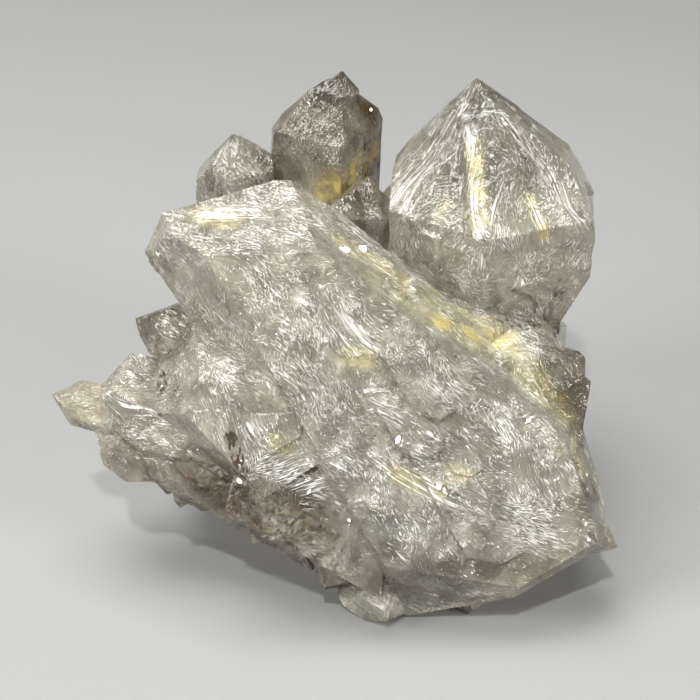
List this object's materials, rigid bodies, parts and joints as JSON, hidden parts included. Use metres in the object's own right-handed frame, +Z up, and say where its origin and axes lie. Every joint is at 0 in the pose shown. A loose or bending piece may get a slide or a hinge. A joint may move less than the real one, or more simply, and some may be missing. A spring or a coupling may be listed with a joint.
{
  "type": "elestial quartz crystal cluster",
  "caption": "Hand-sized cluster of intergrown clear to smoky quartz points with ledges of parallel growth, cut flat where it rests.",
  "frame": {"origin": "on the flat foot, under the middle of the cluster's box", "axes": "+X to the right along the longest extent, +Y to the back, +Z up"},
  "size_m": [0.1101, 0.0848, 0.0887],
  "materials": {
    "quartz": "natural clear to milky quartz with healed fractures"
  },
  "bodies": {
    "root": {"crystal_cluster": "quartz"}
  },
  "joints": []
}
